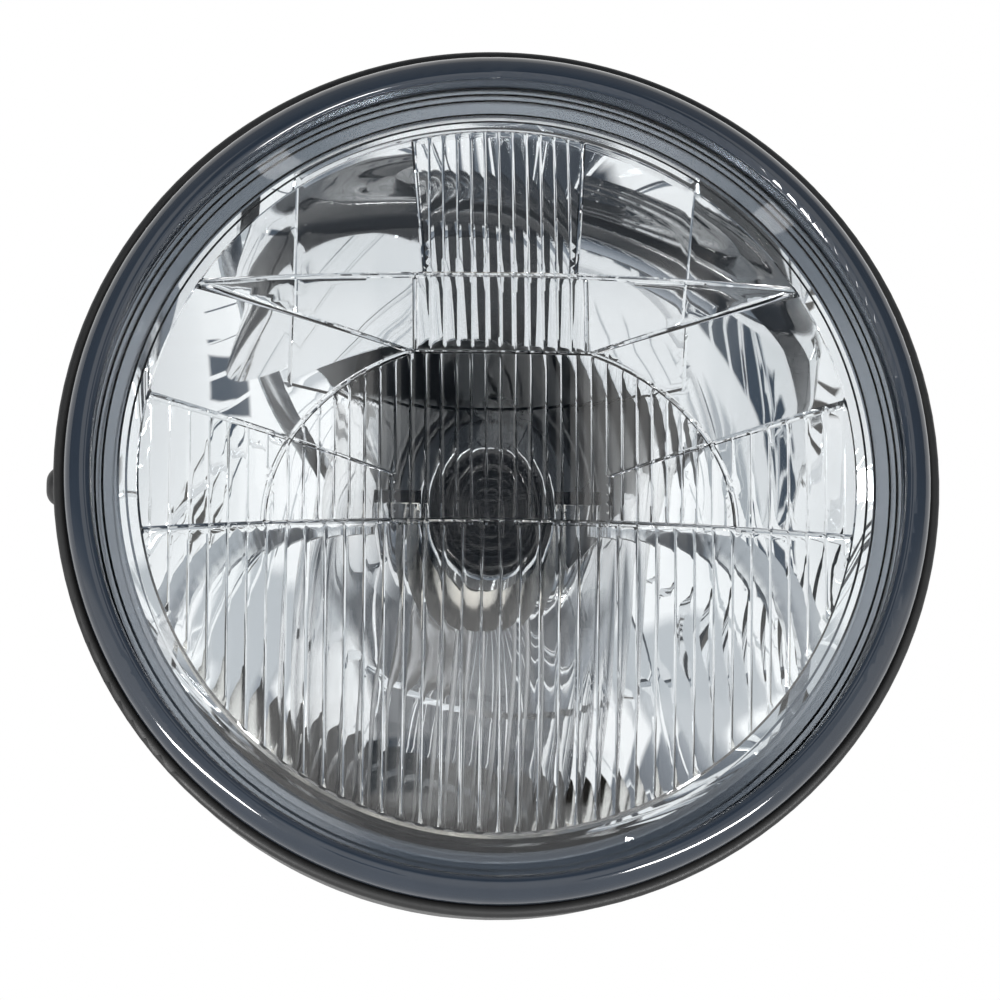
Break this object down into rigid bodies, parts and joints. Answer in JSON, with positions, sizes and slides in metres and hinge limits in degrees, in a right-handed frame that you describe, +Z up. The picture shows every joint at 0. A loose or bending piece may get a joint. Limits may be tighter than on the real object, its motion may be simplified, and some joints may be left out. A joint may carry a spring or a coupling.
{
  "type": "motorcycle headlight",
  "caption": "Round motorcycle headlight: black bowl shell and gloss rim around a domed fluted glass lens, with reflector, bulb shield and twin-filament bulb inside.",
  "frame": {"origin": "on the lamp's axis, where the axis of the two side threads crosses it", "axes": "+X to the lamp's right as seen from the front, +Y backwards along the lamp's axis, +Z up"},
  "size_m": [0.1936, 0.1457, 0.19],
  "materials": {
    "shell_paint": "satin",
    "rim_paint": "gloss",
    "lens_glass": "clear",
    "bulb_glass": "clear",
    "mirror": "polished",
    "shield_black": "gloss",
    "spring_steel": "satin",
    "plated_steel": "satin",
    "black_screw": "satin",
    "rubber": "matte",
    "brass": "satin",
    "insulator": "matte",
    "filament_wire": "satin"
  },
  "bodies": {
    "root": {"shell": "shell_paint", "side_weld_nuts": "plated_steel", "rear_grommet": "rubber", "rim": "rim_paint", "rim_screws": "black_screw", "rim_nuts": "plated_steel", "retaining_clips": "spring_steel", "lens": "lens_glass", "lens_seal": "rubber", "reflector": "mirror", "bulb_shield": "shield_black", "shield_legs": "shield_black", "shield_rivets": "shield_black", "bulb_seat": "plated_steel", "bulb_base": "plated_steel", "bulb_insulator": "insulator", "bulb_terminals": "brass", "bulb_envelope": "bulb_glass", "bulb_leads": "filament_wire", "main_filament": "filament_wire", "dip_filament": "filament_wire", "dip_shield": "filament_wire", "bulb_clip": "spring_steel", "clip_screws": "plated_steel", "bulb_boot": "rubber"}
  },
  "joints": []
}
